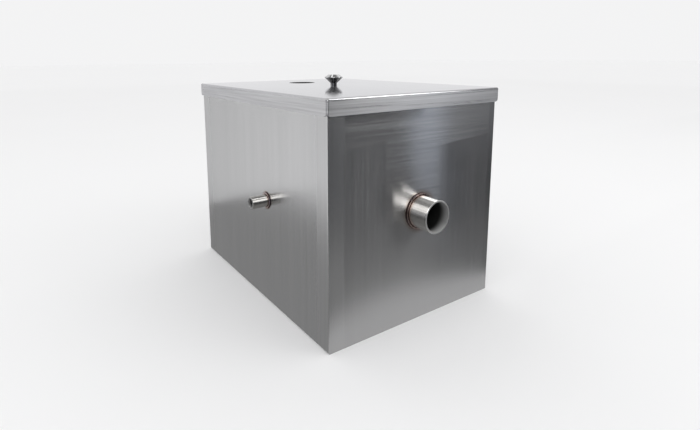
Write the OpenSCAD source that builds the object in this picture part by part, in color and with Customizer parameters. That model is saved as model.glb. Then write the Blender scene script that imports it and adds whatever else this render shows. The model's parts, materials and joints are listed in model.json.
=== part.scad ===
// Grease trap: a folded and welded stainless tank with a loose lid. Waste water falls through the
// lid's inlet hole into a strainer basket, passes over a low weir baffle and under a hanging
// baffle, and leaves by the large stub. The small stub draws off the grease that floats between.
// The origin is the middle of the tank's underside, +Z is up, and the outlet side faces -Y.

/* [Tank] */
// Outside width of the tank, along the outlet side
tank_w = 300; // [270:5:400]
// Outside length of the tank
tank_l = 400; // [370:5:560]
// Height of the tank's rim
tank_h = 315; // [290:5:420]
// Thickness of the tank's sheet
sheet_t = 1.2; // [1:0.1:2]
// Outside radius of the folds between the floor and the side walls
bend_r = 3; // [2.2:0.1:5]
// Radius of the ground welds along the end panels' outer edges
ground_r = 1; // [0.4:0.1:1]
// Depth of the strip that is folded down inside the rim
hem_strip = 10; // [6:1:16]
// Open gap inside the rim's fold
hem_gap = 0.6; // [0.4:0.1:1.2]
// Length of the notch between two rims at a corner
hem_notch = 1; // [0.5:0.1:3]

/* [Lid] */
// Thickness of the lid's sheet
lid_t = 1.2; // [1:0.1:2]
// Depth of the lid's skirt, measured from the lid's top face
skirt_depth = 21; // [14:1:40]
// Space between the skirt and the tank's walls
skirt_gap = 2.2; // [1:0.1:4]
// Outside radius of the fold between the lid's top and its skirt
lid_fold_r = 2.5; // [2.1:0.1:3]
// Outside radius of the lid's four upright corners
lid_corner_r = 3.2; // [3.1:0.1:6]
// Radius of the rounded tips at the foot of the lid's corners
skirt_tip_r = 5; // [2:0.5:10]
// Gap between the lid's underside and the rim it lies on
lid_seat = 0.1; // [0.05:0.05:0.4]
// Diameter of the inlet hole
inlet_d = 46; // [30:1:80]
// Distance of the inlet hole's centre from the tank's rear face
inlet_from_rear = 100; // [90:1:120]

/* [Knob] */
// Diameter of the knob's rim
knob_d = 30; // [24:1:40]
// Height of the knob
knob_h = 17.4; // [16:0.2:24]
// Height of the knob's rim above the lid
knob_rim_h = 12.9; // [11:0.1:15]
// Radius of the knob's rounded rim and top edge
knob_edge_r = 0.8; // [0.4:0.1:1.5]
// Diameter of the flat on the knob's top
knob_top_d = 19; // [10:0.5:22]
// Diameter of the knob's neck
knob_neck_d = 10.8; // [9:0.2:16]
// Height of the neck's straight part
knob_neck_h = 3.4; // [2:0.2:5]
// Diameter of the knob's screw
screw_d = 5; // [4:0.5:6]
// How far the screw reaches into the knob
screw_grip = 9; // [6:0.5:11]
// Diameter of the screw's head
screw_head_d = 9.5; // [8:0.5:12]
// Height of the screw's head
screw_head_h = 3.2; // [2.5:0.1:4]
// Diameter of the screw's washer
washer_d = 12; // [10:0.5:18]
// Thickness of the screw's washer
washer_t = 1; // [0.6:0.1:1.6]
// Play of the screw in its washer and in the lid's hole
screw_play = 0.25; // [0.1:0.05:0.5]
// Gap between the screw and the knob's hole
thread_fit = 0.05; // [0.02:0.01:0.1]
// Free depth of the knob's hole beyond the screw's tip
screw_room = 1.2; // [0.5:0.1:2]

/* [Outlet stub] */
// Outside diameter of the outlet tube
outlet_d = 44.5; // [30:0.5:70]
// Wall of the outlet tube
outlet_wall = 2; // [1.2:0.1:3]
// Length of the outlet tube outside the tank
outlet_reach = 32; // [20:1:80]
// Height of the outlet tube's axis
outlet_z = 156; // [120:1:180]
// Width of the weld bead around the outlet tube, on the wall
outlet_bead = 3.4; // [2:0.1:5]

/* [Draw-off stub] */
// Outside diameter of the draw-off tube
drain_d = 18; // [10:0.5:28]
// Wall of the draw-off tube
drain_wall = 2; // [0.8:0.1:2.5]
// Length of the draw-off tube outside the tank
drain_reach = 26; // [16:1:60]
// Height of the draw-off tube's axis
drain_z = 158; // [130:1:180]
// Distance of the draw-off tube's axis from the tank's front face
drain_from_front = 157; // [140:1:180]
// Width of the weld bead around the draw-off tube, on the wall
drain_bead = 3; // [1.9:0.1:4]

/* [Stub details] */
// How far both tubes stand into the tank
stub_tail = 4; // [2:0.5:10]
// Chamfer around the tubes' free ends
stub_chamfer = 0.5; // [0.2:0.1:0.7]
// Play of the tubes in the walls' holes
stub_play = 0.1; // [0.05:0.05:0.3]
// How far the welds rise along the tubes
weld_rise = 1.8; // [1.2:0.1:1.9]
// Depth to which the welds have run into the tubes
weld_bite = 0.3; // [0.1:0.1:0.5]
// Gap between a weld and its tube
weld_fit = 0.02; // [0.01:0.01:0.05]

/* [Baffles] */
// Thickness of the baffles, their guides and the basket's rails
baffle_t = 1.2; // [1:0.1:2]
// Outside radius of the folds in these pieces
baffle_bend_r = 2; // [2:0.1:2.4]
// Width of the lip folded along each baffle's top
baffle_lip = 12; // [8:1:20]
// Play on each side of a baffle's face in its guides
slide_play = 0.4; // [0.2:0.1:0.8]
// Play at each end of a baffle in its guides
slide_end_play = 0.8; // [0.4:0.1:1.5]
// How far the guides reach from the side walls
guide_reach = 12; // [8:1:20]
// Distance of the weir baffle from the tank's front face
weir_from_front = 215; // [205:1:222]
// Height of the weir baffle above the floor
weir_h = 108; // [80:1:112]
// Distance of the hanging baffle from the tank's front face
hang_from_front = 105; // [70:1:120]
// Open height under the hanging baffle
hang_gap = 60; // [40:1:90]
// Distance from the rim down to the hanging baffle's top
hang_drop = 45; // [25:1:80]

/* [Strainer basket] */
// Outside width of the basket's body
basket_w = 240; // [200:2:248]
// Outside length of the basket's body
basket_l = 140; // [120:2:150]
// Depth of the basket
basket_depth = 108; // [70:1:112]
// Thickness of the basket's sheet
basket_t = 1; // [0.8:0.1:1.5]
// Outside radius of the basket's folds
basket_fold_r = 3; // [2:0.1:5]
// Outside radius of the basket's upright corners
basket_corner_r = 8; // [6:1:14]
// Width of the basket's rim at its front and rear
basket_brim = 8; // [5:1:12]
// Gap between the basket's rim and what stands beside it
basket_play = 2; // [1:0.5:3]
// Diameter of the strainer's holes
strain_d = 8; // [5:0.5:10]
// Spacing of the strainer's holes
strain_pitch = 18; // [16:1:26]
// Height of the rails' upright legs
rail_h = 18; // [12:1:24]

/* [Basket bail] */
// Diameter of the bail's wire
wire_d = 4; // [3:0.5:5]
// Radius of the bail's bends at its grip, on the wire's centre line
grip_bend_r = 14; // [10:1:20]
// Radius of the bail's bends at its pivots, on the wire's centre line
pivot_bend_r = 5; // [4:0.5:7]
// Play of the pivots in the basket's holes
pivot_play = 0.08; // [0.02:0.01:0.1]
// Side play of the bail between the basket's walls
bail_side_play = 1; // [0.5:0.1:2]
// How far the pivots stand out of the basket's walls
pivot_out = 4; // [2:0.5:8]
// Depth of the pivots below the basket's rim
pivot_drop = 10; // [8:1:14]
// How far the grip lies beyond the basket's brim
grip_over = 6; // [4:1:10]
// Gap between the bail and the rim it lies on
bail_seat = 0.3; // [0.1:0.1:0.6]
// Space left under the lid by the bail when it stands upright
bail_headroom = 9; // [4:1:15]

/* [Hidden] */
$fn = 64;
steel = [0.72, 0.73, 0.74];
tinted = [0.5, 0.36, 0.29];
polished = [0.86, 0.87, 0.88];
overcut = 1;

// Tank
hem_r = sheet_t + hem_gap / 2;
wall_x = tank_w / 2 - sheet_t;
wall_y = tank_l / 2 - sheet_t;
rim_x = tank_w / 2 - 2 * hem_r;
drain_y = drain_from_front - tank_l / 2;

// Lid
lid_low = tank_h + lid_seat;
lid_top = lid_low + lid_t;
lid_w = tank_w + 2 * (skirt_gap + lid_t);
lid_l = tank_l + 2 * (skirt_gap + lid_t);
inlet_y = tank_l / 2 - inlet_from_rear;
screw_hole_d = screw_d + 2 * screw_play;
tip_out = skirt_tip_r / 25;

// Baffles
weir_y = weir_from_front - tank_l / 2;
hang_y = hang_from_front - tank_l / 2;
baffle_w = 2 * (wall_x - baffle_t - slide_end_play);
guide_w = 3 * baffle_t + 2 * slide_play;
hang_low = sheet_t + hang_gap;
hang_h = tank_h - hang_drop - hang_low;

// Basket and bail
bail_leg = basket_l / 2 + basket_brim + grip_over;
pivot_z = tank_h - bail_headroom - wire_d / 2 - bail_leg;
basket_rim = pivot_z + pivot_drop;
basket_low = basket_rim - basket_depth;
brim_x = rim_x - basket_play;
rail_reach = wall_x - basket_w / 2 - basket_play;
bail_x = basket_w / 2 - basket_t - pivot_bend_r - bail_side_play;
rim_edge = [basket_l / 2 - basket_t, pivot_drop];
bail_tilt = atan2(rim_edge.y, rim_edge.x) + asin((wire_d / 2 + bail_seat) / norm(rim_edge));

// Upright outline that stands on y = 0, with its two lower corners round
module round_foot(w, h, r) {
    translate([-w / 2, r]) square([w, h - r]);
    translate([r - w / 2, 0]) square([w - 2 * r, r]);
    for (side = [-1, 1]) translate([side * (w / 2 - r), r]) circle(r);
}

// Outline of a sheet folded to a U that stands on y = 0
module folded_u(w, h, t, r) {
    difference() {
        round_foot(w, h, r);
        translate([0, t]) round_foot(w - 2 * t, h, r - t);
    }
}

// Outline of a sheet folded to an L: the legs lie along x = 0 and y = 0
module folded_l(w, h, t, r) {
    difference() {
        union() {
            translate([r, 0]) square([w - r, t]);
            translate([0, r]) square([t, h - r]);
            intersection() {
                translate([r, r]) circle(r);
                square(r);
            }
        }
        translate([r, r]) circle(r - t);
    }
}

// Rectangle with round corners, centred
module round_rect(w, l, r) {
    square([w, l - 2 * r], center = true);
    square([w - 2 * r, l], center = true);
    for (x = [-1, 1], y = [-1, 1]) translate([x * (w / 2 - r), y * (l / 2 - r)]) circle(r);
}

// Section of a pan's edge from x = 0 outwards: the plate's end, the fold and the skirt
module pan_edge(reach, depth, t, r) {
    translate([0, -t]) square([reach - r, t]);
    translate([reach - t, -depth]) square([t, depth - r]);
    translate([reach - r, -r]) intersection() {
        difference() {
            circle(r);
            circle(r - t);
        }
        square(r);
    }
}

// Folded pan with welded corners: its plate's outside is z = 0 and its skirt hangs below
module folded_pan(w, l, depth, t, fold_r, corner_r) {
    for (turn = [0, 90, 180, 270]) {
        inner = (turn % 180 == 0 ? [w, l] : [l, w]) / 2 - [corner_r, corner_r];
        rotate(turn) translate([inner.x, inner.y, 0]) {
            rotate([90, 0, 0]) linear_extrude(2 * inner.y) pan_edge(corner_r, depth, t, fold_r);
            rotate_extrude(angle = 90) pan_edge(corner_r, depth, t, fold_r);
        }
    }
    translate([corner_r - w / 2, corner_r - l / 2, -t]) cube([w - 2 * corner_r, l - 2 * corner_r, t]);
}

// Section of a wall's top and its hem, folded down inside: the wall's outside is x = 0, the rim y = 0
module hem() {
    translate([hem_r, -hem_r]) intersection() {
        difference() {
            circle(hem_r);
            circle(hem_gap / 2);
        }
        translate([-hem_r, 0]) square([2 * hem_r, hem_r]);
    }
    for (x = [0, 2 * hem_r - sheet_t]) translate([x, -hem_r - hem_strip]) square([sheet_t, hem_strip]);
}

// Tube stub along +Z: the wall's outside is z = 0, and a groove takes the weld
module stub(d, wall, reach) {
    outer = d / 2;
    rotate_extrude() polygon([
        [outer - wall, -sheet_t - stub_tail], [outer, -sheet_t - stub_tail],
        [outer, 0], [outer - weld_bite, 0], [outer - weld_bite, weld_rise], [outer, weld_rise],
        [outer, reach - stub_chamfer], [outer - stub_chamfer, reach], [outer - wall, reach]
    ]);
}

// Flat fillet weld around a stub that stands on z = 0: an arc from the wall up to the tube
module fillet_weld(d, bead) {
    arc_r = (bead * bead + weld_rise * weld_rise) / (2 * weld_rise);
    rotate_extrude() intersection() {
        translate([d / 2, weld_rise - arc_r]) circle(arc_r);
        translate([d / 2 - weld_bite + weld_fit, 0]) square(2 * bead);
    }
}

module at_outlet() {
    translate([0, -tank_l / 2, outlet_z]) rotate([90, 0, 0]) children();
}

module at_drain() {
    translate([-tank_w / 2, drain_y, drain_z]) rotate([0, -90, 0]) children();
}

// Hole through a tank wall for a stub
module stub_hole(d) {
    translate([0, 0, -sheet_t - overcut]) cylinder(d = d + 2 * stub_play, h = sheet_t + 2 * overcut);
}

module tank_wrapper() {
    color(steel) difference() {
        translate([0, wall_y, 0]) rotate([90, 0, 0]) linear_extrude(2 * wall_y) {
            folded_u(tank_w, tank_h - hem_r, sheet_t, bend_r);
            for (side = [0, 1]) mirror([side, 0]) translate([-tank_w / 2, tank_h]) hem();
        }
        at_drain() stub_hole(drain_d);
    }
}

// End panel whose outside is y = 0: its outer edges are ground, its lower corners round, its rim hemmed
module tank_end() {
    plate_h = tank_h - hem_r;
    hem_half = rim_x - hem_notch;
    intersection() {
        linear_extrude(plate_h) round_foot(tank_w, sheet_t, ground_r);
        translate([0, sheet_t, 0]) rotate([90, 0, 0])
            linear_extrude(sheet_t) round_foot(tank_w, plate_h, bend_r);
        translate([-tank_w / 2, 0, plate_h]) rotate([0, 90, 0])
            linear_extrude(tank_w) round_foot(2 * plate_h, sheet_t, ground_r);
    }
    translate([-hem_half, 0, tank_h]) rotate([90, 0, 90]) linear_extrude(2 * hem_half) hem();
}

module front_panel() {
    color(steel) difference() {
        translate([0, -tank_l / 2, 0]) tank_end();
        at_outlet() stub_hole(outlet_d);
    }
}

module rear_panel() {
    color(steel) rotate(180) translate([0, -tank_l / 2, 0]) tank_end();
}

module outlet_pipe() {
    color(steel) at_outlet() stub(outlet_d, outlet_wall, outlet_reach);
}

module outlet_weld() {
    color(tinted) at_outlet() fillet_weld(outlet_d, outlet_bead);
}

module drain_pipe() {
    color(steel) at_drain() stub(drain_d, drain_wall, drain_reach);
}

module drain_weld() {
    color(tinted) at_drain() fillet_weld(drain_d, drain_bead);
}

// Cutter that rounds the foot of the lid's corner at +X +Y, seen across the corner
module tip_cutter() {
    centre = [lid_corner_r - skirt_tip_r + tip_out, skirt_tip_r - tip_out];
    translate([lid_w / 2 - lid_corner_r, lid_l / 2 - lid_corner_r, lid_top - skirt_depth])
        rotate([90, 0, 45]) linear_extrude(4 * skirt_tip_r, center = true) difference() {
            translate([centre.x, -overcut]) square([skirt_tip_r + overcut, centre.y + overcut]);
            translate(centre) circle(skirt_tip_r);
        }
}

module lid_pan() {
    color(steel) difference() {
        translate([0, 0, lid_top])
            folded_pan(lid_w, lid_l, skirt_depth, lid_t, lid_fold_r, lid_corner_r);
        for (x = [0, 1], y = [0, 1]) mirror([x, 0, 0]) mirror([0, y, 0]) tip_cutter();
        translate([0, inlet_y, lid_low - overcut]) cylinder(d = inlet_d, h = lid_t + 2 * overcut);
        translate([0, 0, lid_low - overcut]) cylinder(d = screw_hole_d, h = lid_t + 2 * overcut);
    }
}

// Section of the turned knob: a neck, a cone that runs into the round rim, and a sloped shoulder
module knob_section() {
    neck = [knob_neck_d / 2, knob_neck_h];
    rim = [knob_d / 2 - knob_edge_r, knob_rim_h];
    edge = [knob_top_d / 2 - knob_edge_r, knob_h - knob_edge_r];
    slope = (rim - edge) / norm(rim - edge);
    shoulder = knob_edge_r * [-slope.y, slope.x];
    lean = atan2(rim.y - neck.y, rim.x - neck.x) - asin(knob_edge_r / norm(rim - neck));
    polygon([
        [0, 0], [neck.x, 0], neck, rim + knob_edge_r * [sin(lean), -cos(lean)],
        rim + shoulder, edge + shoulder, [edge.x, knob_h], [0, knob_h]
    ]);
    translate(rim) circle(knob_edge_r);
    translate(edge) circle(knob_edge_r);
}

module lid_knob() {
    hole_h = screw_grip + screw_room;
    color(polished) translate([0, 0, lid_top]) difference() {
        rotate_extrude() knob_section();
        translate([0, 0, -overcut]) cylinder(d = screw_d + 2 * thread_fit, h = hole_h + overcut);
    }
}

module knob_screw() {
    head_low = lid_low - washer_t - screw_head_h;
    slot = screw_head_h / 3;
    color(steel) difference() {
        union() {
            translate([0, 0, head_low]) cylinder(d = screw_head_d, h = screw_head_h);
            translate([0, 0, head_low]) cylinder(d = screw_d, h = lid_top + screw_grip - head_low);
        }
        translate([0, 0, head_low]) cube([2 * screw_head_d, slot, 2 * slot], center = true);
    }
}

module knob_washer() {
    color(steel) translate([0, 0, lid_low - washer_t]) difference() {
        cylinder(d = washer_d, h = washer_t);
        translate([0, 0, -overcut]) cylinder(d = screw_hole_d, h = washer_t + 2 * overcut);
    }
}

// Baffle with a lip along its top, its face on y = 0 and its foot on z = 0
module baffle(h) {
    translate([-baffle_w / 2, 0, h]) rotate([90, 0, 90]) linear_extrude(baffle_w)
        mirror([0, 1]) translate([-baffle_t / 2, 0]) folded_l(baffle_lip, h, baffle_t, baffle_bend_r);
}

module weir_baffle() {
    color(steel) translate([0, weir_y, sheet_t]) baffle(weir_h);
}

module hanging_baffle() {
    color(steel) translate([0, hang_y, hang_low]) baffle(hang_h);
}

// Guide channel on the left wall, its slot facing +X, from z = 0 up
module guide(h) {
    rotate(-90) linear_extrude(h) folded_u(guide_w, guide_reach, baffle_t, baffle_bend_r);
}

module weir_guide_left() {
    color(steel) translate([-wall_x, weir_y, bend_r])
        guide(sheet_t + weir_h - baffle_bend_r - bend_r);
}

module weir_guide_right() {
    color(steel) mirror([1, 0, 0]) translate([-wall_x, weir_y, bend_r])
        guide(sheet_t + weir_h - baffle_bend_r - bend_r);
}

// Guide with its foot closed by a folded tab, which the hanging baffle stands on
module footed_guide() {
    translate([-wall_x, hang_y, hang_low]) {
        guide(hang_h - baffle_bend_r);
        translate([0, 0, -baffle_t]) rotate(-90) linear_extrude(baffle_t)
            round_foot(guide_w, guide_reach, baffle_bend_r);
    }
}

module hanging_guide_left() {
    color(steel) footed_guide();
}

module hanging_guide_right() {
    color(steel) mirror([1, 0, 0]) footed_guide();
}

// Evenly spaced places along a span, an even number of them so that none is in the middle
function spread(span) =
    let (pairs = floor(span / strain_pitch / 2))
    [for (i = [0.5 - pairs : pairs - 0.5]) i * strain_pitch];

module strain_hole(l) {
    cylinder(d = strain_d, h = l, center = true);
}

module strainer_basket() {
    margin = basket_fold_r + strain_d;
    across = spread(basket_w - 2 * basket_corner_r - strain_d);
    along = spread(basket_l - 2 * basket_corner_r - strain_d);
    up = [for (z = [margin : strain_pitch : basket_depth - pivot_drop - strain_d]) basket_low + z];
    color(steel) translate([0, inlet_y, 0]) difference() {
        union() {
            translate([0, 0, basket_low]) mirror([0, 0, 1])
                folded_pan(basket_w, basket_l, basket_depth, basket_t, basket_fold_r, basket_corner_r);
            translate([0, 0, basket_rim - basket_t]) linear_extrude(basket_t) difference() {
                round_rect(2 * brim_x, basket_l + 2 * basket_brim, basket_corner_r + basket_brim);
                round_rect(basket_w - 2 * basket_t, basket_l - 2 * basket_t, basket_corner_r - basket_t);
            }
        }
        for (x = across, y = along) translate([x, y, basket_low]) strain_hole(4 * basket_t);
        for (x = across, z = up) translate([x, 0, z]) rotate([90, 0, 0]) strain_hole(2 * basket_l);
        for (y = along, z = up) translate([0, y, z]) rotate([0, 90, 0]) strain_hole(2 * basket_w);
        translate([0, 0, pivot_z]) rotate([0, 90, 0])
            cylinder(d = wire_d + 2 * pivot_play, h = 2 * basket_w, center = true);
    }
}

// Straight wire along +Z
module wire(l) {
    cylinder(d = wire_d, h = l);
}

// Quarter bend of the wire in the XY plane, about the origin
module wire_bend(r) {
    rotate_extrude(angle = 90) translate([r, 0]) circle(d = wire_d);
}

// One half of the bail in the XY plane, pivoting on the X axis
module bail_half() {
    elbow = bail_x + pivot_bend_r;
    translate([elbow, 0, 0]) rotate([0, 90, 0]) wire(basket_w / 2 + pivot_out - elbow);
    translate([elbow, pivot_bend_r, 0]) rotate(180) wire_bend(pivot_bend_r);
    translate([bail_x, pivot_bend_r, 0]) rotate([-90, 0, 0]) wire(bail_leg - grip_bend_r - pivot_bend_r);
    translate([bail_x - grip_bend_r, bail_leg - grip_bend_r, 0]) wire_bend(grip_bend_r);
    translate([0, bail_leg, 0]) rotate([0, 90, 0]) wire(bail_x - grip_bend_r);
}

module basket_bail() {
    color(steel) translate([0, inlet_y, pivot_z]) rotate([bail_tilt, 0, 0])
        for (side = [0, 1]) mirror([side, 0, 0]) bail_half();
}

// Angle on the left wall that the basket's rim lies on
module rail() {
    translate([-wall_x, inlet_y + basket_l / 2, basket_rim - basket_t]) rotate([90, 0, 0])
        linear_extrude(basket_l) mirror([0, 1]) folded_l(rail_reach, rail_h, baffle_t, baffle_bend_r);
}

module basket_rail_left() {
    color(steel) rail();
}

module basket_rail_right() {
    color(steel) mirror([1, 0, 0]) rail();
}

tank_wrapper();
front_panel();
rear_panel();
outlet_pipe();
outlet_weld();
drain_pipe();
drain_weld();
lid_pan();
lid_knob();
knob_screw();
knob_washer();
weir_baffle();
hanging_baffle();
weir_guide_left();
weir_guide_right();
hanging_guide_left();
hanging_guide_right();
strainer_basket();
basket_bail();
basket_rail_left();
basket_rail_right();
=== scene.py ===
import json
import math
import bpy
from mathutils import Matrix, Vector


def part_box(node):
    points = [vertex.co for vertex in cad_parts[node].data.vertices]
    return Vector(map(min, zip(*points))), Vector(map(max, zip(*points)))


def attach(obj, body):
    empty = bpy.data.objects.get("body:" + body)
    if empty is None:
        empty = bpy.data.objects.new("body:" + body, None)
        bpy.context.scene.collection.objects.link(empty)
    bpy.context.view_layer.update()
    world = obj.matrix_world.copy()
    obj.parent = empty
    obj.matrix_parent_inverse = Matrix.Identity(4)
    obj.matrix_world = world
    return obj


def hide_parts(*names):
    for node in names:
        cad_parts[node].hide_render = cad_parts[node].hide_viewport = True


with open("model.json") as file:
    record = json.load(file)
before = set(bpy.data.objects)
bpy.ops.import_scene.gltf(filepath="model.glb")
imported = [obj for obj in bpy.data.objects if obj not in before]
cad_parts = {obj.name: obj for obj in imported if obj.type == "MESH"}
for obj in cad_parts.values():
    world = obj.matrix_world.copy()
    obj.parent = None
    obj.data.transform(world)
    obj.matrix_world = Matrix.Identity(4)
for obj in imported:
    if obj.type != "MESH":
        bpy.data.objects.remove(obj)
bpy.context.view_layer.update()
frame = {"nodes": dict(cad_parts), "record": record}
nodes = frame["nodes"]
mounts = {each["name"]: each for each in frame["record"]["mounts"]}
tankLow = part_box("tank_wrapper")[0]
scene = bpy.context.scene
scene.view_settings.view_transform = "Standard"
print("frame:", len(nodes), "nodes")

origin = (0.0, 0.0, 0.0)
black = (0.0, 0.0, 0.0)
white = (1.0, 1.0, 1.0)
noiseMiddle = 0.5  # mean of a noise
perMetre = 1000.0  # millimetres
quarterTurn = math.radians(90.0)


def plug(tree, slot, value):  # links a shade, or sets a plain value
    if isinstance(value, Shade):
        tree.links.new(slot, value.socket)
    elif slot.type == "RGBA" and len(value) == 3:
        slot.default_value = (*value, 1.0)
    else:
        slot.default_value = value


class Shade:  # one socket, whose sums add Math nodes
    def __init__(self, tree, socket):
        self.tree = tree
        self.socket = socket

    def work(self, operation, *values):
        node = self.tree.nodes.new("ShaderNodeMath")
        node.operation = operation
        for slot, value in zip(node.inputs, values):
            plug(self.tree, slot, value)
        return Shade(self.tree, node.outputs[0])

    def __add__(self, other):
        return self.work("ADD", self, other)

    def __radd__(self, other):
        return self.work("ADD", other, self)

    def __sub__(self, other):
        return self.work("SUBTRACT", self, other)

    def __rsub__(self, other):
        return self.work("SUBTRACT", other, self)

    def __mul__(self, other):
        return self.work("MULTIPLY", self, other)

    def __rmul__(self, other):
        return self.work("MULTIPLY", other, self)

    def __truediv__(self, other):
        return self.work("DIVIDE", self, other)

    def __rtruediv__(self, other):
        return self.work("DIVIDE", other, self)

    def __pow__(self, other):
        return self.work("POWER", self, other)

    def __abs__(self):
        return self.work("ABSOLUTE", self)

    def larger(self, other):
        return self.work("MAXIMUM", self, other)

    def bearing(self, other):  # angle of a point that is this far up and the other far along
        return self.work("ARCTAN2", self, other)


class Finish:  # a material or a world, and the one method that adds its nodes
    def __init__(self, owner):
        owner.use_nodes = True
        self.owner = owner
        self.tree = owner.node_tree
        self.tree.nodes.clear()

    def add(self, kind, settings=None, sockets=None, out=0):
        node = self.tree.nodes.new(kind)
        for name, value in (settings or {}).items():
            setattr(node, name, value)
        for name, value in (sockets or {}).items():
            plug(self.tree, node.inputs[name], value)
        return Shade(self.tree, node.outputs[out]) if len(node.outputs) else None


def newFinish(name):
    return Finish(bpy.data.materials.new(name))


def objectAxes(finish):  # object coordinates whole, then x, y and z by themselves
    place = finish.add("ShaderNodeTexCoord", out="Object")
    split = finish.add("ShaderNodeSeparateXYZ", {}, {0: place}).socket.node
    return [place] + [Shade(finish.tree, socket) for socket in split.outputs]


def noise(finish, place, scale, detail=3.0, coarse=0.6, shift=(0.0, 0.0, 0.0)):
    drawn = finish.add("ShaderNodeMapping", {}, {"Vector": place, "Scale": scale, "Location": shift})
    sockets = {"Vector": drawn, "Scale": 1.0, "Detail": detail, "Roughness": coarse}
    return finish.add("ShaderNodeTexNoise", {}, sockets)


def grains(finish, place, look, *names):  # the noises that a dictionary describes
    return [noise(finish, place, **look[name]) for name in names]


def rise(finish, value, low, high):  # soft step from 0 to 1
    return finish.add("ShaderNodeMapRange", {"interpolation_type": "SMOOTHSTEP"},
                      {"Value": value, "From Min": low, "From Max": high})


def fall(finish, value, low, high):  # soft step from 1 to 0
    return 1.0 - rise(finish, value, low, high)


def step(finish, value, place, soft):  # rises at one place
    return rise(finish, value, place - soft, place + soft)


def between(finish, value, low, high, soft):  # 1 from low to high, with soft ends
    return step(finish, value, low, soft) * (1.0 - step(finish, value, high, soft))


def blend(under, over, share):  # from one value to another
    return under + share * (over - under)


def ramp(value, base, gain):
    return base + gain * value


def weigh(parts, shares):  # weighted sum
    total = shares[0] * parts[0]
    for part, share in zip(parts[1:], shares[1:]):
        total = total + share * part
    return total


def vary(base, parts, shares):  # a value that wavers with some noises
    for part, share in zip(parts, shares):
        base = base + share * (part - noiseMiddle)
    return base


def fade(value, share):  # a noise brought nearer to its mean
    return noiseMiddle + (value - noiseMiddle) * share


def distance(across, up):
    return (across * across + up * up) ** 0.5


def tone(finish, factor, under, over):  # colour mix
    return finish.add("ShaderNodeMix", {"data_type": "RGBA"}, {0: factor, 6: under, 7: over}, out=2)


def shades(colour, low, high):  # a colour a little darker and a little lighter
    return [c * low for c in colour], [c * high for c in colour]


def speckle(finish, look, bright, colour):  # a colour that varies with a noise
    dark, light = shades(colour, *look["spread"])
    return tone(finish, rise(finish, bright, *look["brightSpan"]), dark, light)


def emboss(finish, height, depth, under=None, strength=1.0):  # bump of a depth in metres
    sockets = {"Height": height, "Distance": depth, "Strength": strength}
    if under:
        sockets["Normal"] = under
    return finish.add("ShaderNodeBump", {}, sockets)


def metal(finish, colour, roughness, normal, fixed):
    sockets = {"Base Color": colour, "Roughness": roughness, "Normal": normal, "Metallic": 1.0}
    sockets.update(fixed)
    shader = finish.add("ShaderNodeBsdfPrincipled", {}, sockets)
    finish.add("ShaderNodeOutputMaterial", {}, {"Surface": shader})
    return finish.owner


def dress(material, *names):  # gives CAD nodes their finish
    for name in names:
        mesh = nodes[name].data
        mesh.materials.clear()
        mesh.materials.append(material)


def settle():  # applies the new piece's place, turn and scale
    bpy.ops.object.transform_apply(location=True, rotation=True, scale=True)
    return bpy.context.object


# studio
studio = {
    "floorSize": 60.0,
    "floorColour": (0.9, 0.9, 0.905),
    "floorShade": 0.985,
    "floorRoughness": 0.9,
    "cloud": {"scale": (1.2, 1.2, 1.2), "detail": 2.0},
    "backColour": (0.9, 0.9, 0.905),
    "skyLight": 0.99,
    "lamps": [
        {"place": (-1.41, -1.94, 1.9), "size": 1.4, "power": 7.0},
        {"place": (1.64, -1.90, 1.6), "size": 1.4, "power": 6.0},
    ],
    "cards": [
        {"place": (-1.41, -1.94, 1.48), "size": (1.25, 1.25), "glow": 2.8},
        {"place": (1.70, -1.84, 1.44), "size": (0.8, 1.2), "glow": 4.2},
        {"place": (-1.19, -0.53, 2.22), "size": (0.5, 0.5), "glow": 4.0},
        {"place": (0.25, 0.9, 2.45), "size": (0.2, 0.2), "glow": 2.0},
        {"place": (1.65, 0.85, 2.0), "size": (0.2, 0.2), "glow": 1.6},
    ],
    "aim": (0.0, -0.1, 0.15),
}


def aimed(place):  # turn that faces the trap
    return (Vector(studio["aim"]) - Vector(place)).to_track_quat("-Z", "Y").to_euler()


def buildFloor(look):
    bpy.ops.mesh.primitive_plane_add(size=look["floorSize"])
    floor = bpy.context.object
    floor.name = "studioFloor"
    finish = newFinish("paleFloor")
    cloud = noise(finish, objectAxes(finish)[0], **look["cloud"])
    shaded = [c * look["floorShade"] for c in look["floorColour"]]
    colour = tone(finish, cloud, look["floorColour"], shaded)
    sockets = {"Base Color": colour, "Roughness": look["floorRoughness"]}
    shader = finish.add("ShaderNodeBsdfPrincipled", {}, sockets)
    finish.add("ShaderNodeOutputMaterial", {}, {"Surface": shader})
    floor.data.materials.append(finish.owner)


def buildSky(look):
    world = bpy.data.worlds.new("studioSky")
    scene.world = world
    finish = Finish(world)
    ray = finish.add("ShaderNodeLightPath").socket.node
    kinds = "Is Camera Ray", "Is Glossy Ray", "Is Transmission Ray"
    direct, mirrored, through = [Shade(finish.tree, ray.outputs[kind]) for kind in kinds]
    shown = direct.larger(mirrored).larger(through)
    light = finish.add("ShaderNodeBackground", {}, {"Color": white, "Strength": look["skyLight"]})
    back = finish.add("ShaderNodeBackground", {}, {"Color": look["backColour"], "Strength": 1.0})
    both = finish.add("ShaderNodeMixShader", {}, {0: shown, 1: light, 2: back})
    finish.add("ShaderNodeOutputWorld", {}, {"Surface": both})


def buildLamps(look):
    for number, each in enumerate(look["lamps"]):
        bpy.ops.object.light_add(type="AREA", location=each["place"], rotation=aimed(each["place"]))
        lamp = bpy.context.object
        lamp.name = "softLamp%d" % (number + 1)
        lamp.data.size = each["size"]
        lamp.data.energy = each["power"]
        lamp.visible_glossy = False


def onlyReflected(card, name, finish, glow):  # a studio card that nothing but a reflection sees
    finish.add("ShaderNodeOutputMaterial", {}, {"Surface": glow})
    card.name = name
    card.data.materials.append(finish.owner)
    card.visible_camera = False
    card.visible_diffuse = False
    card.visible_shadow = False


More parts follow.
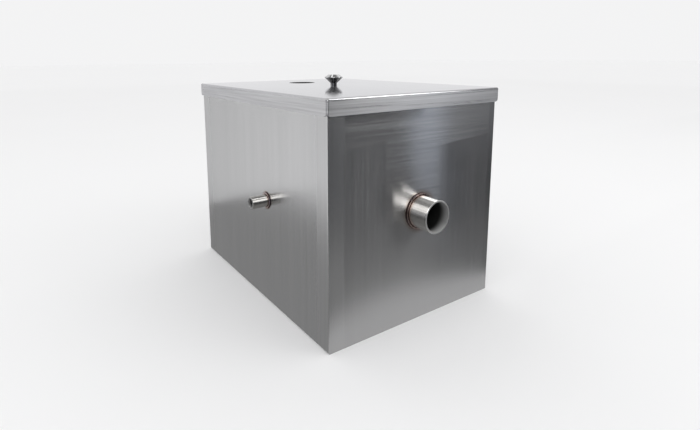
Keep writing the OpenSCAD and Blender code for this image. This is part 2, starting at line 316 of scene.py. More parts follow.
def grey(finish, shade, tint=white):  # a value as a glowing grey
    return finish.add("ShaderNodeEmission", {}, {"Color": tone(finish, shade, black, tint)})


def partly(finish, cover, glow):  # a glow where its cover is 1, nothing where it is 0
    clear = finish.add("ShaderNodeBsdfTransparent")
    return finish.add("ShaderNodeMixShader", {}, {0: cover, 1: clear, 2: glow})


def buildCards(look):  # bright cards that tubes and knob mirror
    for number, each in enumerate(look["cards"]):
        bpy.ops.mesh.primitive_plane_add(size=1.0, location=each["place"], rotation=aimed(each["place"]))
        bpy.context.object.scale = (*each["size"], 1.0)
        card = settle()
        name = "softCard%d" % (number + 1)
        finish = newFinish(name)
        glow = finish.add("ShaderNodeEmission", {}, {"Color": white, "Strength": each["glow"]})
        onlyReflected(card, name, finish, glow)


# light that falls between the dark cards and fans out over mat and drum
fan = {
    "point": (-0.447, 0.232),
    "low": 0.73,
    "high": 0.786,
    "soft": 0.012,
    "tint": (0.88, 0.95, 1.1),
    "cool": (0.97, 0.985, 1.035),
}


def fanOut(finish, x, y, look):  # bearing from the fan's point, and whether it is in the light
    bearing = (look["point"][1] - y).bearing(x - look["point"][0])
    return bearing, between(finish, bearing, look["low"], look["high"], look["soft"])


# dark mat on the floor, which the tank's sides mirror
mat = {
    "size": 12.0,
    "lift": 0.0003,
    "tone": 0.33,
    "rearEdge": 0.468,
    "leftEdge": -0.475,
    "leftFrom": (-0.3, -0.2),
    "edgeSoft": 0.002,
    "veil": 0.45,
    "veilPoint": (0.147, -0.632),
    "veilTurn": (1.06, 1.3),
    "frontSoft": 0.001,
    "rightTone": 0.03,
    "leftTone": 0.1,
    "nearGlow": 0.14,
    "nearReach": (0.06, 0.45),
    "farStart": (0.84, 0.96),
    "farRight": 0.26,
    "farLeft": -0.02,
    "streak": 0.4,
    "streakFrom": (0.15, 0.7),
    "coolFrom": (0.2, 0.6),
    "ledge": 0.088,
    "ledgeBow": 1.45,
    "ledgeMiddle": 0.02,
    "ledgeSoft": (-0.028, 0.02),
    "ledgeTone": 0.57,
}


def buildMat(look):
    bpy.ops.mesh.primitive_plane_add(size=look["size"], location=(0.0, 0.0, look["lift"]))
    card = settle()
    finish = newFinish("darkMat")
    x, y = objectAxes(finish)[1:3]
    out = tankLow.y - y  # metres in front of the outlet side
    front = step(finish, out, 0.0, look["frontSoft"])
    bearing, streak = fanOut(finish, x, y, fan)
    left = rise(finish, bearing, fan["low"], fan["high"])
    ahead = blend(look["rightTone"], look["leftTone"], left)
    ahead = ahead + look["nearGlow"] * fall(finish, out, *look["nearReach"])
    far = blend(look["farRight"], look["farLeft"], left)
    ahead = ahead + rise(finish, out, *look["farStart"]) * far
    streak = streak * rise(finish, out, *look["streakFrom"])
    ahead = ahead + streak * look["streak"]
    offMiddle = x - look["ledgeMiddle"]
    reach = look["ledge"] - look["ledgeBow"] * offMiddle * offMiddle
    ledge = fall(finish, out - reach, *look["ledgeSoft"])
    shade = blend(look["tone"], blend(ahead, look["ledgeTone"], ledge), front)
    behind = step(finish, y, look["rearEdge"], look["edgeSoft"])
    beside = 1.0 - step(finish, x, look["leftEdge"], look["edgeSoft"])
    beside = beside * rise(finish, y, *look["leftFrom"])
    turn = (y - look["veilPoint"][1]).bearing(look["veilPoint"][0] - x)
    veil = look["veil"] * rise(finish, turn, *look["veilTurn"])
    cover = 1.0 - behind.larger(beside) * (1.0 - veil)
    tint = tone(finish, front * rise(finish, out, *look["coolFrom"]), white, fan["cool"])
    tint = tone(finish, streak, tint, fan["tint"])
    onlyReflected(card, "darkMat", finish, partly(finish, cover, grey(finish, shade, tint)))


# dark drum round the front of the studio, lighter towards the right; spans end with their softness
drum = {
    "radius": 3.3,
    "height": 2.3,
    "sides": 96,
    "ends": (-1.9, 1.3, 0.06),
    "tone": 0.1,
    "gap": (-1.2, -0.73, 0.05),
    "gapHeight": (0.2, 1.3, 0.15),
    "gapTone": 0.8,
    "lit": (0.55, 1.06, 0.08),
    "footTone": 0.07,
    "footRight": 0.17,
    "footStreak": 0.4,
    "highTone": 0.1,
    "spot": 0.75,
    "spotTurn": 0.745,
    "spotReach": (0.0, 0.18),
    "climb": (0.55, 1.0),
}


def buildDrum(look):
    bpy.ops.mesh.primitive_cylinder_add(vertices=look["sides"], radius=look["radius"], depth=look["height"],
                                        end_fill_type="NOTHING", location=(0.0, 0.0, look["height"] / 2))
    card = settle()
    finish = newFinish("darkDrum")
    x, y, z = objectAxes(finish)[1:]
    bearing, streak = fanOut(finish, x, y, fan)
    right = fall(finish, bearing, fan["low"], fan["high"])
    foot = look["footTone"] + right * look["footRight"] + streak * look["footStreak"]
    spot = fall(finish, abs(bearing - look["spotTurn"]), *look["spotReach"])
    high = look["highTone"] + spot * look["spot"]
    lit = blend(foot, high, rise(finish, z, *look["climb"]))
    shade = blend(look["tone"], lit, between(finish, bearing, *look["lit"]))
    turn = x.bearing(0.0 - y)  # 0 straight ahead of the outlet, more to the right
    gap = look["gapTone"] * between(finish, turn, *look["gap"]) * between(finish, z, *look["gapHeight"])
    cover = between(finish, turn, *look["ends"])
    tint = tone(finish, streak, fan["cool"], fan["tint"])
    onlyReflected(card, "darkDrum", finish, partly(finish, cover, grey(finish, shade + gap, tint)))


# dark ceiling, which the polished knob mirrors
ceiling = {
    "height": 2.6,
    "radius": 2.2,
    "sides": 48,
    "middle": (-0.5, -0.2),
    "tone": 0.3,
    "edgeTone": 0.5,
    "edgeFrom": 0.7,
}


def buildCeiling(look):
    bpy.ops.mesh.primitive_circle_add(vertices=look["sides"], radius=look["radius"], fill_type="NGON",
                                      location=(*look["middle"], look["height"]))
    card = settle()
    finish = newFinish("darkCeiling")
    x, y = objectAxes(finish)[1:3]
    away = distance(x - look["middle"][0], y - look["middle"][1])
    edge = rise(finish, away, look["radius"] * look["edgeFrom"], look["radius"])
    onlyReflected(card, "darkCeiling", finish, grey(finish, ramp(edge, look["tone"], look["edgeTone"])))


# camera, fitted to the photograph's edges
eye = {
    "place": (-0.4468, -0.6321, 0.3617),
    "yaw": 0.5853,
    "pitch": -0.1624,
    "roll": -0.0082,
    "focal": 468.59,
    "middle": (320.0, 134.0),
    "image": (700.0, 430.0),
    "sensor": 36.0,
    "near": 0.01,
}


def buildEye(look):
    yaw, pitch, roll = look["yaw"], look["pitch"], look["roll"]
    ahead = Vector((math.sin(yaw) * math.cos(pitch), math.cos(yaw) * math.cos(pitch), math.sin(pitch)))
    right = Vector((math.cos(yaw), -math.sin(yaw), 0.0))
    up = right.cross(ahead)
    rolledRight = right * math.cos(roll) + up * math.sin(roll)
    rolledUp = up * math.cos(roll) - right * math.sin(roll)
    bpy.ops.object.camera_add(location=look["place"])
    camera = bpy.context.object
    camera.name = "photoEye"
    turn = Matrix((rolledRight, rolledUp, -ahead)).transposed()
    camera.rotation_euler = turn.to_euler()
    wide, high = look["image"]
    camera.data.sensor_width = look["sensor"]
    camera.data.lens = look["focal"] * look["sensor"] / wide
    camera.data.shift_x = (wide / 2 - look["middle"][0]) / wide
    camera.data.shift_y = (look["middle"][1] - high / 2) / wide
    camera.data.clip_start = look["near"]
    scene.camera = camera


buildFloor(studio)
buildSky(studio)
buildLamps(studio)
buildCards(studio)
buildMat(mat)
buildDrum(drum)
buildCeiling(ceiling)
buildEye(eye)
print("studio and camera made")


# the two tubes, measured from the frame: along is the tube's axis, across the two others
outletStub = {
    "pipe": "outlet_pipe",
    "weld": "outlet_weld",
    "mount": "outlet_stub",
    "along": 1,
    "across": (0, 2),
    "colour": (0.8, 0.785, 0.755),
    "rimColour": (0.6, 0.6, 0.6),
}
drainStub = {
    "pipe": "drain_pipe",
    "weld": "drain_weld",
    "mount": "drain_stub",
    "along": 0,
    "across": (1, 2),
    "colour": (0.66, 0.645, 0.62),
    "rimColour": (0.28, 0.28, 0.28),
}


def measure(stub):
    along, (wide, high) = stub["along"], stub["across"]
    weldLow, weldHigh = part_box(stub["weld"])
    middle = (weldLow + weldHigh) / 2
    stub["centre"] = (middle[wide], middle[high])
    stub["radius"] = mounts[stub["mount"]]["dims"]["r_mm"] / perMetre
    stub["leg"] = (weldHigh[high] - weldLow[high]) / 2 - stub["radius"]  # the weld's width on the wall
    stub["climb"] = weldHigh[along] - weldLow[along]  # its height along the tube
    stub["wallAt"], stub["weldEnd"] = weldHigh[along], weldLow[along]
    stub["mouth"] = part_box(stub["pipe"])[0][along]
    stub["bore"] = min(math.hypot(v.co[wide] - stub["centre"][0], v.co[high] - stub["centre"][1])
                       for v in nodes[stub["pipe"]].data.vertices)
    print(stub["pipe"], {name: round(value, 5) for name, value in stub.items() if isinstance(value, float)})


def fromAxis(axes, stub):  # distance from a tube's axis
    return distance(*[axes[1 + axis] - value for axis, value in zip(stub["across"], stub["centre"])])


def heatBeside(finish, axes, stub, reach):  # 1 at the weld's toe, 0 where its tint ends
    toe = stub["radius"] + stub["leg"]
    return fall(finish, fromAxis(axes, stub), toe, toe + reach)


measure(outletStub)
measure(drainStub)


# tank sides and floor: one folded sheet, brushed along its folded length, belt-ground beside the seams
tankSide = {
    "colour": (0.555, 0.555, 0.56),
    "spread": (0.945, 1.055),
    "brightSpan": (0.3, 0.7),
    "brightShares": (0.35, 0.35, 0.3),
    "hair": {"scale": (7.0, 1500.0, 7.0)},
    "line": {"scale": (3.0, 330.0, 3.0), "shift": (2.0, 1.0, 4.0)},
    "broad": {"scale": (1.6, 42.0, 1.6), "detail": 2.0, "coarse": 0.5, "shift": (7.0, 3.0, 1.0)},
    "smear": {"scale": (11.0, 11.0, 11.0), "coarse": 0.55},
    "wander": {"scale": (3.0, 3.0, 24.0), "detail": 2.0},
    "wave": {"scale": (4.0, 4.5, 4.0), "detail": 1.0, "coarse": 0.4},
    "bandStart": 0.176,
    "bandWander": 0.006,
    "bandSoft": 0.0015,
    "bandShare": 0.35,
    "bandColour": (0.7, 0.7, 0.705),
    "bandRoughness": 0.09,
    "tintSide": (-0.12, -0.1),
    "tintReach": 0.0025,
    "tintShare": (0.55, 0.5),
    "tintColour": (0.28, 0.2, 0.16),
    "roughness": 0.23,
    "roughShares": (0.06, 0.04, 0.05),
    "hairDepth": 0.6,
    "grain": 1.6e-6,
    "buckle": 1.6e-4,
    "fixed": {"Anisotropic": 0.7, "Anisotropic Rotation": 0.0},
}


def tankSideFinish(look):
    finish = newFinish("brushedSides")
    axes = objectAxes(finish)
    place, x, y = axes[:3]
    hair, line, broad = grains(finish, place, look, "hair", "line", "broad")
    smear, wander, wave = grains(finish, place, look, "smear", "wander", "wave")
    toEdge = abs(y) + look["bandWander"] * (wander - noiseMiddle)
    band = step(finish, toEdge, look["bandStart"], look["bandSoft"])
    bright = weigh((hair, line, broad), look["brightShares"])
    colour = speckle(finish, look, bright, look["colour"])
    colour = tone(finish, band * look["bandShare"] * line, colour, look["bandColour"])
    heat = heatBeside(finish, axes, drainStub, look["tintReach"]) * fall(finish, x, *look["tintSide"])
    colour = tone(finish, heat * ramp(smear, *look["tintShare"]), colour, look["tintColour"])
    roughness = vary(look["roughness"], (hair, line, smear), look["roughShares"])
    roughness = roughness + look["bandRoughness"] * band
    normal = emboss(finish, wave, look["buckle"])
    normal = emboss(finish, look["hairDepth"] * hair + line, look["grain"], normal)
    return metal(finish, colour, roughness, normal, look["fixed"])


# tank ends: flat panels, brushed level, with upright belt-ground bands along their edges; the outlet's
# plate also has two panes of upright grain and a strip brushed level between them; painted shade darkens
# the panes, a band under the lid's skirt and a spot beside the outlet, and the bands are painted lighter
# on the left and darker on the right, for the reflections they show
tankEnd = {
    "colour": (0.555, 0.555, 0.56),
    "spread": (0.87, 1.12),
    "brightSpan": (0.28, 0.72),
    "brightShares": (0.35, 0.58, 0.07),
    "plainTo": (0.08, 0.2),
    "plainShare": (0.4, 0.6),
    "hair": {"scale": (9.0, 9.0, 900.0)},
    "line": {"scale": (7.0, 7.0, 460.0), "coarse": 0.65, "shift": (2.0, 1.0, 4.0)},
    "broad": {"scale": (3.0, 3.0, 90.0), "detail": 1.0, "coarse": 0.5, "shift": (7.0, 3.0, 1.0)},
    "upHair": {"scale": (1500.0, 7.0, 7.0)},
    "upLine": {"scale": (300.0, 3.0, 3.0), "shift": (5.0, 2.0, 1.0)},
    "smear": {"scale": (11.0, 11.0, 11.0), "coarse": 0.55},
    "wander": {"scale": (24.0, 3.0, 14.0), "detail": 2.0},
    "wave": {"scale": (4.0, 4.0, 4.5), "detail": 1.0, "coarse": 0.4},
    "outletSide": (-0.1, 0.1),
    "rightSide": (-0.01, 0.01),
    "bandLeft": -0.1265,
    "bandRight": 0.1385,
    "bandWander": 0.005,
    "bandSoft": 0.0015,
    "bandShare": 0.7,
    "bandPolish": 0.03,
    "leftBandPaintedLight": (0.78, 0.78, 0.785),
    "leftFrom": (0.03, 0.13),
    "rightBandPaintedShade": (0.42, 0.42, 0.425),
    "rightFrom": (0.19, 0.27),
    "leftTop": 0.257,
    "rightTop": 0.246,
    "paneTilt": 0.07,
    "paneMiddle": 0.09,
    "paneSoft": 0.0015,
    "paneFade": 0.55,
    "paintedShadeColour": (0.1, 0.1, 0.1),
    "stripLeft": (-0.064, -0.057),
    "stripRight": (0.025, 0.06),
    "stripFrom": (0.1, 0.17),
    "innerShade": 0.24,
    "innerTo": (0.05, 0.115),
    "innerFrom": (0.1, 0.16),
    "upperShade": 0.2,
    "upperFrom": (0.17, 0.24),
    "leftShade": 0.12,
    "leftShadeFrom": (0.2, 0.25),
    "skirtShade": 0.35,
    "skirtShadeFrom": (0.279, 0.294),
    "score": {"scale": (2.0, 2.0, 620.0), "detail": 1.0, "coarse": 0.5, "shift": (3.0, 8.0, 2.0)},
    "scoreSpan": (0.62, 0.72),
    "scoreWhere": (0.4, 0.65),
    "scoreShare": 0.12,
    "scoreColour": (0.75, 0.75, 0.76),
    "tintReach": 0.007,
    "tintShare": (0.3, 0.5),
    "tintColour": (0.36, 0.27, 0.22),
    "paintedDimSpot": (-0.04, 0.181),
    "paintedDimSpotReach": (0.0, 0.055),
    "paintedDimSpotShare": 0.4,
    "paintedDimSpotColour": (0.3, 0.285, 0.275),
    "roughness": 0.215,
    "roughShares": (0.07, 0.05, 0.05),
    "grain": 4.0e-6,
    "grainFade": 0.8,
    "buckle": 1.6e-4,
    "fixed": {"Anisotropic": 0.94, "Anisotropic Rotation": 0.25},
}


def tankEndFinish(look):
    finish = newFinish("brushedEnds")
    axes = place, x, y, z = objectAxes(finish)
    hair, line, broad = grains(finish, place, look, "hair", "line", "broad")
    upHair, upLine = grains(finish, place, look, "upHair", "upLine")
    smear, wander, wave, score = grains(finish, place, look, "smear", "wander", "wave", "score")
    outer = fall(finish, y, *look["outletSide"])  # the outlet's plate alone
    right = rise(finish, x, *look["rightSide"])
    fromLeft = x + look["bandWander"] * (wander - noiseMiddle)
    leftBand = 1.0 - step(finish, fromLeft, look["bandLeft"], look["bandSoft"])
    rightBand = step(finish, fromLeft, look["bandRight"], look["bandSoft"])
    band = leftBand + rightBand
    tilt = look["paneTilt"] * (abs(x) - look["paneMiddle"]) * (2.0 * right - 1.0)
    edge = blend(look["leftTop"], look["rightTop"], right) + tilt
    above = step(finish, z - edge, 0.0, look["paneSoft"])
    strip = rise(finish, x, *look["stripLeft"]) * fall(finish, x, *look["stripRight"])
    strip = strip * rise(finish, z, *look["stripFrom"])
    pane = outer * (1.0 - above) * (1.0 - strip) * (1.0 - band)
    upright = band + pane
    hair = blend(hair, upHair, upright)
    line = blend(line, upLine, upright)
    bright = weigh((hair, line, broad), look["brightShares"])
    bright = fade(bright, ramp(rise(finish, z, *look["plainTo"]), *look["plainShare"]))  # plainer below
    bright = fade(bright, 1.0 - look["paneFade"] * pane)
    colour = speckle(finish, look, bright, look["colour"])
    # painted shade: the right pane darkens towards its top and inner edge, the left pane in its upper part,
    # where reflections are dimmer
    inner = look["innerShade"] * fall(finish, x, *look["innerTo"]) * rise(finish, z, *look["innerFrom"])
    upper = look["upperShade"] * rise(finish, z, *look["upperFrom"])
    leftPaneShade = look["leftShade"] * (1.0 - right) * rise(finish, z, *look["leftShadeFrom"])
    colour = tone(finish, pane * (right * (inner + upper) + leftPaneShade), colour, look["paintedShadeColour"])
    # painted shadow under the lid's skirt, on the half where x is below zero, outside the bands; it is not
    # limited to the outlet's plate, so the rear plate gets it too
    skirtPaintedShadow = look["skirtShade"] * rise(finish, z, *look["skirtShadeFrom"])
    colour = tone(finish, skirtPaintedShadow * (1.0 - right) * (1.0 - band), colour, look["paintedShadeColour"])
    # painted light and shade: the belt-ground bands are painted lighter on the left and darker on the
    # right, standing in for the reflections they show
    ground = look["bandShare"] * leftBand * rise(finish, z, *look["leftFrom"])
    colour = tone(finish, ground, colour, look["leftBandPaintedLight"])
    ground = look["bandShare"] * rightBand * rise(finish, z, *look["rightFrom"])
    colour = tone(finish, ground, colour, look["rightBandPaintedShade"])
    scored = rise(finish, score, *look["scoreSpan"]) * look["scoreShare"]  # longer single scratches
    scored = scored * rise(finish, smear, *look["scoreWhere"]) * (1.0 - band)
    colour = tone(finish, scored, colour, look["scoreColour"])
    heat = heatBeside(finish, axes, outletStub, look["tintReach"]) * outer
    colour = tone(finish, heat * ramp(smear, *look["tintShare"]), colour, look["tintColour"])
    # painted shade: a soft darker spot up and left of the outlet, which dims the tube's mirrored image on
    # the plate
    away = distance(x - look["paintedDimSpot"][0], z - look["paintedDimSpot"][1])
    paintedDimSpot = look["paintedDimSpotShare"] * outer * fall(finish, away, *look["paintedDimSpotReach"])
    colour = tone(finish, paintedDimSpot, colour, look["paintedDimSpotColour"])
    roughness = vary(look["roughness"], (hair, line, smear), look["roughShares"])
    roughness = roughness - look["bandPolish"] * band
    normal = emboss(finish, wave, look["buckle"])
    normal = emboss(finish, broad, look["grain"], normal, 1.0 - look["grainFade"] * upright)
    return metal(finish, colour, roughness, normal, look["fixed"])


# lid: one sheet, finely brushed across the tank on top, with level lines on its skirts
lid = {
    "colour": (0.525, 0.525, 0.535),
    "spread": (0.75, 1.25),
    "brightSpan": (0.2, 0.8),
    "brightShares": (0.4, 0.6),
    "grainShare": (0.3, 0.7),
    "hair": {"scale": (7.0, 1500.0, 7.0)},
    "line": {"scale": (3.0, 330.0, 3.0), "shift": (2.0, 1.0, 4.0)},
    "levelHair": {"scale": (6.0, 6.0, 1300.0)},
    "levelLine": {"scale": (6.0, 6.0, 420.0), "shift": (1.0, 5.0, 2.0)},
    "smear": {"scale": (11.0, 11.0, 11.0), "coarse": 0.55},
    "wave": {"scale": (4.0, 4.0, 4.5), "detail": 1.0, "coarse": 0.4},
    "endFrom": (0.2012, 0.2026),
    "skirtTop": 0.3138,
    "skirtSoft": 0.001,
    "topRoughness": 0.07,
    "skirtRoughness": 0.3,
    "roughGrain": (0.04, 0.06),
    "roughShares": (0.05,),
    "lean": 0.12,
    "hairDepth": 0.6,
    "grain": 3.0e-6,
    "buckle": 1.0e-4,
    "fixed": {
        "Metallic": 0.86,
        "Anisotropic": 0.6,
        "Anisotropic Rotation": 0.25,
        "Specular Tint": (0.88, 0.88, 0.9),
    },
}


def lidFinish(look):
    finish = newFinish("brushedLid")
    axes = objectAxes(finish)
    place, y, z = axes[0], axes[2], axes[3]
    hair, line = grains(finish, place, look, "hair", "line")
    levelHair, levelLine = grains(finish, place, look, "levelHair", "levelLine")
    smear, wave = grains(finish, place, look, "smear", "wave")
    endSkirt = rise(finish, abs(y), *look["endFrom"])
    skirt = 1.0 - step(finish, z, look["skirtTop"], look["skirtSoft"])
    hair = blend(hair, levelHair, skirt)
    line = blend(line, levelLine, skirt)
    grainShare = ramp(skirt, *look["grainShare"])  # the top is plainer than the skirts
    bright = fade(weigh((hair, line), look["brightShares"]), grainShare)
    colour = speckle(finish, look, bright, look["colour"])
    roughness = blend(look["topRoughness"], look["skirtRoughness"], skirt)
    roughness = roughness + ramp(skirt, *look["roughGrain"]) * (hair + line - 2.0 * noiseMiddle)
    roughness = vary(roughness, (smear,), look["roughShares"])
    normal = emboss(finish, wave, look["buckle"])
    normal = emboss(finish, z, -look["lean"], normal, endSkirt * skirt)  # the end skirts lean back a little
    normal = emboss(finish, (look["hairDepth"] * hair + line) * grainShare, look["grain"], normal)
    return metal(finish, colour, roughness, normal, look["fixed"])


# outlet and draw-off tubes: ground along their length, dull inside, straw-coloured beside their welds;
# inside, painted light brightens the lower wall and painted shade darkens it deeper in
tube = {
    "spread": (0.85, 1.12),
    "brightSpan": (0.32, 0.68),
    "draw": (420.0, 6.0),
    "ring": (5.0, 1600.0),
    "smear": {"scale": (60.0, 60.0, 60.0)},
    "roughness": 0.16,
    "roughShares": (0.08, 0.04),
    "boreEdge": (0.0002, 0.0005),
    "insideColour": (0.4, 0.4, 0.4),
    "paintedLitColour": (0.62, 0.62, 0.62),
    "paintedLitFrom": (0.45, 0.95),
    "deepPaintedShadeColour": (0.02, 0.02, 0.02),
    "deepPaintedShadeFrom": (0.1, 0.8),
    "insideRoughness": 0.6,
    "insideMetallic": 0.5,
    "rimReach": (0.0001, 0.0004),
    "rimDull": 0.35,
    "strawReach": (0.0005, 0.0035),
    "strawShare": (0.35, 0.6),
    "strawColour": (0.46, 0.36, 0.29),
    "grain": 2.0e-6,
    "grainShares": (0.7, 0.5),
}


def lengthwise(stub, across, along):  # a noise's scale, with its own value along the tube
    scale = [across] * 3
    scale[stub["along"]] = along
    return scale


def tubeFinish(look, name, stub):
    finish = newFinish(name)
    axes = objectAxes(finish)
    place, along, z = axes[0], axes[1 + stub["along"]], axes[3]
    bore, mouth = stub["bore"], stub["mouth"]
    draw = noise(finish, place, lengthwise(stub, *look["draw"]))
    ring = noise(finish, place, lengthwise(stub, *look["ring"]))
    smear = noise(finish, place, **look["smear"])
    inside = fall(finish, fromAxis(axes, stub), *[bore + edge for edge in look["boreEdge"]])
    outside = 1.0 - inside
    colour = speckle(finish, look, draw, stub["colour"])
    # painted light and shade inside the bore: lighter on the lower wall, darker further from the mouth
    below = (stub["centre"][1] - z) / bore
    paintedLit = rise(finish, below, *look["paintedLitFrom"])
    wall = tone(finish, paintedLit, look["insideColour"], look["paintedLitColour"])
    deep = rise(finish, (along - mouth) / bore, *look["deepPaintedShadeFrom"])
    colour = tone(finish, inside, colour, tone(finish, deep, wall, look["deepPaintedShadeColour"]))
    rim = fall(finish, along - mouth, *look["rimReach"]) * outside  # the sawn end
    colour = tone(finish, rim, colour, stub["rimColour"])
    straw = fall(finish, stub["weldEnd"] - along, *look["strawReach"]) * outside
    colour = tone(finish, straw * ramp(smear, *look["strawShare"]), colour, look["strawColour"])
    dull = inside.larger(look["rimDull"] * rim)
    roughness = blend(look["roughness"], look["insideRoughness"], dull)
    roughness = vary(roughness, (draw, ring), look["roughShares"])
    normal = emboss(finish, weigh((draw, ring), look["grainShares"]), look["grain"])
    return metal(finish, colour, roughness, normal, {"Metallic": blend(1.0, look["insideMetallic"], dull)})


# weld beads: dark brown in their creases, with a pale pink ridge that is partly heat colour and partly a
# painted highlight
bead = {
    "darkColour": (0.075, 0.045, 0.04),
    "ridgeTintAndHighlightColour": (0.72, 0.58, 0.54),
    "ridge": (0.32, 0.7, 0.12),
    "ridgeShare": (0.5, 0.6),
    "blueColour": (0.2, 0.2, 0.26),
    "blueSpan": (0.52, 0.7),
    "blueShare": 0.4,
    "blot": {"scale": (300.0, 300.0, 300.0)},
    "wide": {"scale": (70.0, 70.0, 70.0), "detail": 2.0, "coarse": 0.5},
    "roughness": 0.28,
    "roughShares": (0.25,),
    "pits": 2.0e-5,
}


def beadFinish(look, name, stub):
    finish = newFinish(name)
    axes = objectAxes(finish)
    blot, wide = grains(finish, axes[0], look, "blot", "wide")
    over = (fromAxis(axes, stub) - stub["radius"]) / stub["leg"]  # 0 at the tube, 1 at the outer edge
    # the pale ridge is heat colour and a painted highlight where the crown catches light
    ridge = between(finish, over, *look["ridge"])
    colour = tone(finish, ridge * ramp(blot, *look["ridgeShare"]), look["darkColour"], look["ridgeTintAndHighlightColour"])
    blue = rise(finish, wide, *look["blueSpan"]) * look["blueShare"]
    colour = tone(finish, blue, colour, look["blueColour"])
    roughness = vary(look["roughness"], (blot,), look["roughShares"])
    return metal(finish, colour, roughness, emboss(finish, blot, look["pits"]), {})


# knob: turned, then mirror polished; below the rim its colour is darkened with painted shade
knob = {
    "colour": (0.6, 0.6, 0.605),
    "spread": (0.95, 1.05),
    "belowRimPaintedShade": (0.26, 0.26, 0.265),
    "underTo": (0.0118, 0.0132),
    "turned": {"scale": (5.0, 5.0, 2600.0), "detail": 2.0},
    "smear": {"scale": (150.0, 150.0, 150.0)},
    "roughness": (0.05, 0.05),
    "roughShares": (0.03,),
    "lines": 1.5e-7,
}


def knobFinish(look):
    finish = newFinish("polishedKnob")
    axes = objectAxes(finish)
    turned, smear = grains(finish, axes[0], look, "turned", "smear")
    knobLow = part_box("lid_knob")[0]
    # painted shade: the knob is darker below its rim
    under = fall(finish, axes[3], *[knobLow.z + height for height in look["underTo"]])
    colour = tone(finish, smear, *shades(look["colour"], *look["spread"]))
    colour = tone(finish, under, colour, look["belowRimPaintedShade"])
    roughness = vary(ramp(smear, *look["roughness"]), (turned,), look["roughShares"])
    return metal(finish, colour, roughness, emboss(finish, turned, look["lines"]), {})


# inner sheet: dull mill finish with rolling lines and a faint water mark
sheet = {
    "colour": (0.6, 0.605, 0.61),
    "spread": (0.88, 1.08),
    "brightSpan": (0.3, 0.7),
    "brightShares": (0.5, 0.5),
    "upright": {"scale": (300.0, 5.0, 5.0)},
    "even": {"scale": (300.0, 300.0, 300.0)},
    "mottle": {"scale": (40.0, 40.0, 40.0), "detail": 4.0},
    "waterLine": (0.144, 0.15, 0.158),
    "waterWander": 0.01,
    "waterShare": 0.25,
    "waterColour": (0.45, 0.42, 0.38),
    "roughness": 0.36,
    "roughShares": (0.12, 0.08),
    "rolledDepth": 0.5,
    "grain": 4.0e-6,
}


def sheetFinish(look, name, grain):
    finish = newFinish(name)
    axes = objectAxes(finish)
    rolled, mottle = grains(finish, axes[0], look, grain, "mottle")
    colour = speckle(finish, look, weigh((rolled, mottle), look["brightShares"]), look["colour"])
    level = axes[3] + look["waterWander"] * (mottle - noiseMiddle)
    water = rise(finish, level, *look["waterLine"][:2]) * fall(finish, level, *look["waterLine"][1:])
    colour = tone(finish, water * look["waterShare"], colour, look["waterColour"])
    roughness = vary(look["roughness"], (mottle, rolled), look["roughShares"])
    normal = emboss(finish, look["rolledDepth"] * rolled + mottle, look["grain"])
    return metal(finish, colour, roughness, normal, {})


# bail: drawn wire; screw and washer: bright
wire = {
    "colour": (0.66, 0.66, 0.67),
    "spread": (0.9, 1.08),
    "brightSpan": (0.3, 0.7),
    "drawn": {"scale": (5.0, 500.0, 500.0)},
    "bright": {"scale": (300.0, 300.0, 900.0)},
    "roughness": 0.22,
    "roughShares": (0.12,),
    "depth": 2.0e-6,
}


def wireFinish(look, name, grain):
    finish = newFinish(name)
    drawn = noise(finish, objectAxes(finish)[0], **look[grain])
    colour = speckle(finish, look, drawn, look["colour"])
    roughness = vary(look["roughness"], (drawn,), look["roughShares"])
    return metal(finish, colour, roughness, emboss(finish, drawn, look["depth"]), {})


dress(tankSideFinish(tankSide), "tank_wrapper")
dress(tankEndFinish(tankEnd), "front_panel", "rear_panel")
dress(lidFinish(lid), "lid_pan")
dress(tubeFinish(tube, "outletTube", outletStub), "outlet_pipe")
dress(tubeFinish(tube, "drainTube", drainStub), "drain_pipe")
dress(knobFinish(knob), "lid_knob")
dress(sheetFinish(sheet, "innerSheet", "upright"), "weir_baffle", "hanging_baffle",
      "weir_guide_left", "weir_guide_right", "hanging_guide_left", "hanging_guide_right",
      "basket_rail_left", "basket_rail_right")
dress(sheetFinish(sheet, "strainerSheet", "even"), "strainer_basket")
dress(wireFinish(wire, "bailWire", "drawn"), "basket_bail")
dress(wireFinish(wire, "brightScrew", "bright"), "knob_screw", "knob_washer")
print("finishes given")


# weld beads, laid in ripples around each tube
ripple = {
    "sides": 14,
    "steps": 4,
    "round": 0.6,
    "sunk": 0.36,
    "crown": 0.9,
    "join": 1e-6,
    "groups": 5,
    "stride": 7,
    "swell": (0.7, 0.15),
}
outletBead = {
    "name": "outletBead",
    "stub": outletStub,
    "ripples": 62,
    "lag": 0.0008,
    "swell": 0.00016,
    "turn": (quarterTurn, 0.0, 0.0),
}
drainBead = {
    "name": "drainBead",
    "stub": drainStub,
    "ripples": 30,
    "lag": 0.0006,
    "swell": 0.00015,
    "turn": (0.0, -quarterTurn, 0.0),
}


def pick(piece, chosen):  # selects the vertices whose number is chosen
    mesh = piece.data
    for part in (mesh.polygons, mesh.edges):
        part.foreach_set("select", [False] * len(part))
    mesh.vertices.foreach_set("select", [number in chosen for number in range(len(mesh.vertices))])


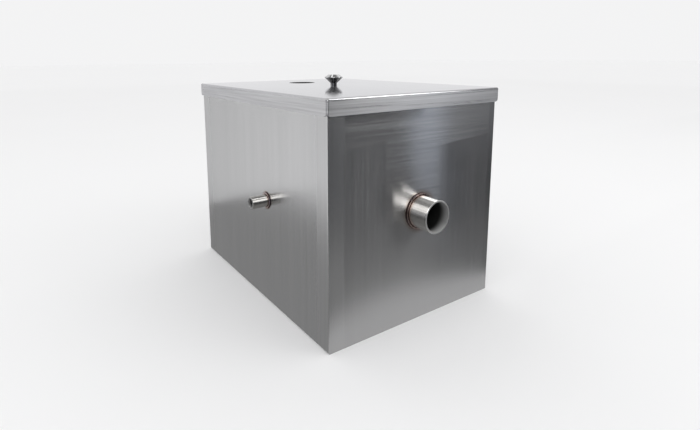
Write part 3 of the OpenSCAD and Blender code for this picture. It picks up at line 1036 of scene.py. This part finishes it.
def drawRing(piece, look, radius, leg, climb):  # the bead's outline, turned round the tube
    bpy.ops.object.mode_set(mode="EDIT")
    bpy.ops.mesh.select_mode(type="VERT")
    bpy.ops.mesh.select_all(action="SELECT")
    bpy.ops.transform.rotate(value=quarterTurn, orient_axis="X", center_override=origin)
    bpy.ops.transform.resize(value=(1.0, 1.0, climb / leg), center_override=origin)
    bpy.ops.transform.translate(value=(radius + leg * ripple["sunk"], 0.0, climb * ripple["sunk"]))
    bpy.ops.object.mode_set(mode="OBJECT")
    outward = [(v.co.x - radius) / leg + v.co.z / climb for v in piece.data.vertices]
    pick(piece, {number for number, value in enumerate(outward) if value > ripple["crown"]})
    bpy.ops.object.mode_set(mode="EDIT")
    bpy.ops.transform.translate(value=(0.0, look["lag"], 0.0))  # the crown trails, so ripples are crescents
    bpy.ops.mesh.select_all(action="SELECT")
    bpy.ops.mesh.spin(steps=look["ripples"] * ripple["steps"], angle=2.0 * math.pi, center=origin,
                      axis=(0.0, 0.0, 1.0))
    bpy.ops.mesh.select_all(action="SELECT")
    bpy.ops.mesh.remove_doubles(threshold=ripple["join"])
    bpy.ops.mesh.normals_make_consistent(inside=False)
    bpy.ops.object.mode_set(mode="OBJECT")


def swellRipples(piece, look):  # groups of ripples, each laid a little differently
    rings = [number // ripple["sides"] for number in range(len(piece.data.vertices))]
    for group in range(ripple["groups"]):
        ridge = set()
        for number, ring in enumerate(rings):
            turn, rest = divmod(ring, ripple["steps"])
            if rest == 0 and turn * ripple["stride"] % ripple["groups"] == group:
                ridge.add(number)
        pick(piece, ridge)
        bpy.ops.object.mode_set(mode="EDIT")
        bpy.ops.transform.shrink_fatten(value=look["swell"] * ramp(group, *ripple["swell"]))
        bpy.ops.object.mode_set(mode="OBJECT")


def layBead(look):
    stub = look["stub"]
    bpy.ops.mesh.primitive_circle_add(vertices=ripple["sides"], radius=stub["leg"] * ripple["round"])
    piece = bpy.context.object
    piece.name = look["name"]
    drawRing(piece, look, stub["radius"], stub["leg"], stub["climb"])
    swellRipples(piece, look)
    piece.rotation_euler = look["turn"]
    piece.location[stub["along"]] = stub["wallAt"]
    for axis, value in zip(stub["across"], stub["centre"]):
        piece.location[axis] = value
    settle()
    bpy.ops.object.modifier_add(type="SUBSURF")
    piece.modifiers[-1].levels = piece.modifiers[-1].render_levels = 1
    bpy.ops.object.modifier_apply(modifier=piece.modifiers[-1].name)
    bpy.ops.object.shade_smooth()
    piece.data.materials.append(beadFinish(bead, look["name"], stub))
    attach(piece, "tank")
    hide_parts(stub["weld"])
    print(look["name"], len(piece.data.polygons), "faces")


layBead(outletBead)
layBead(drainBead)
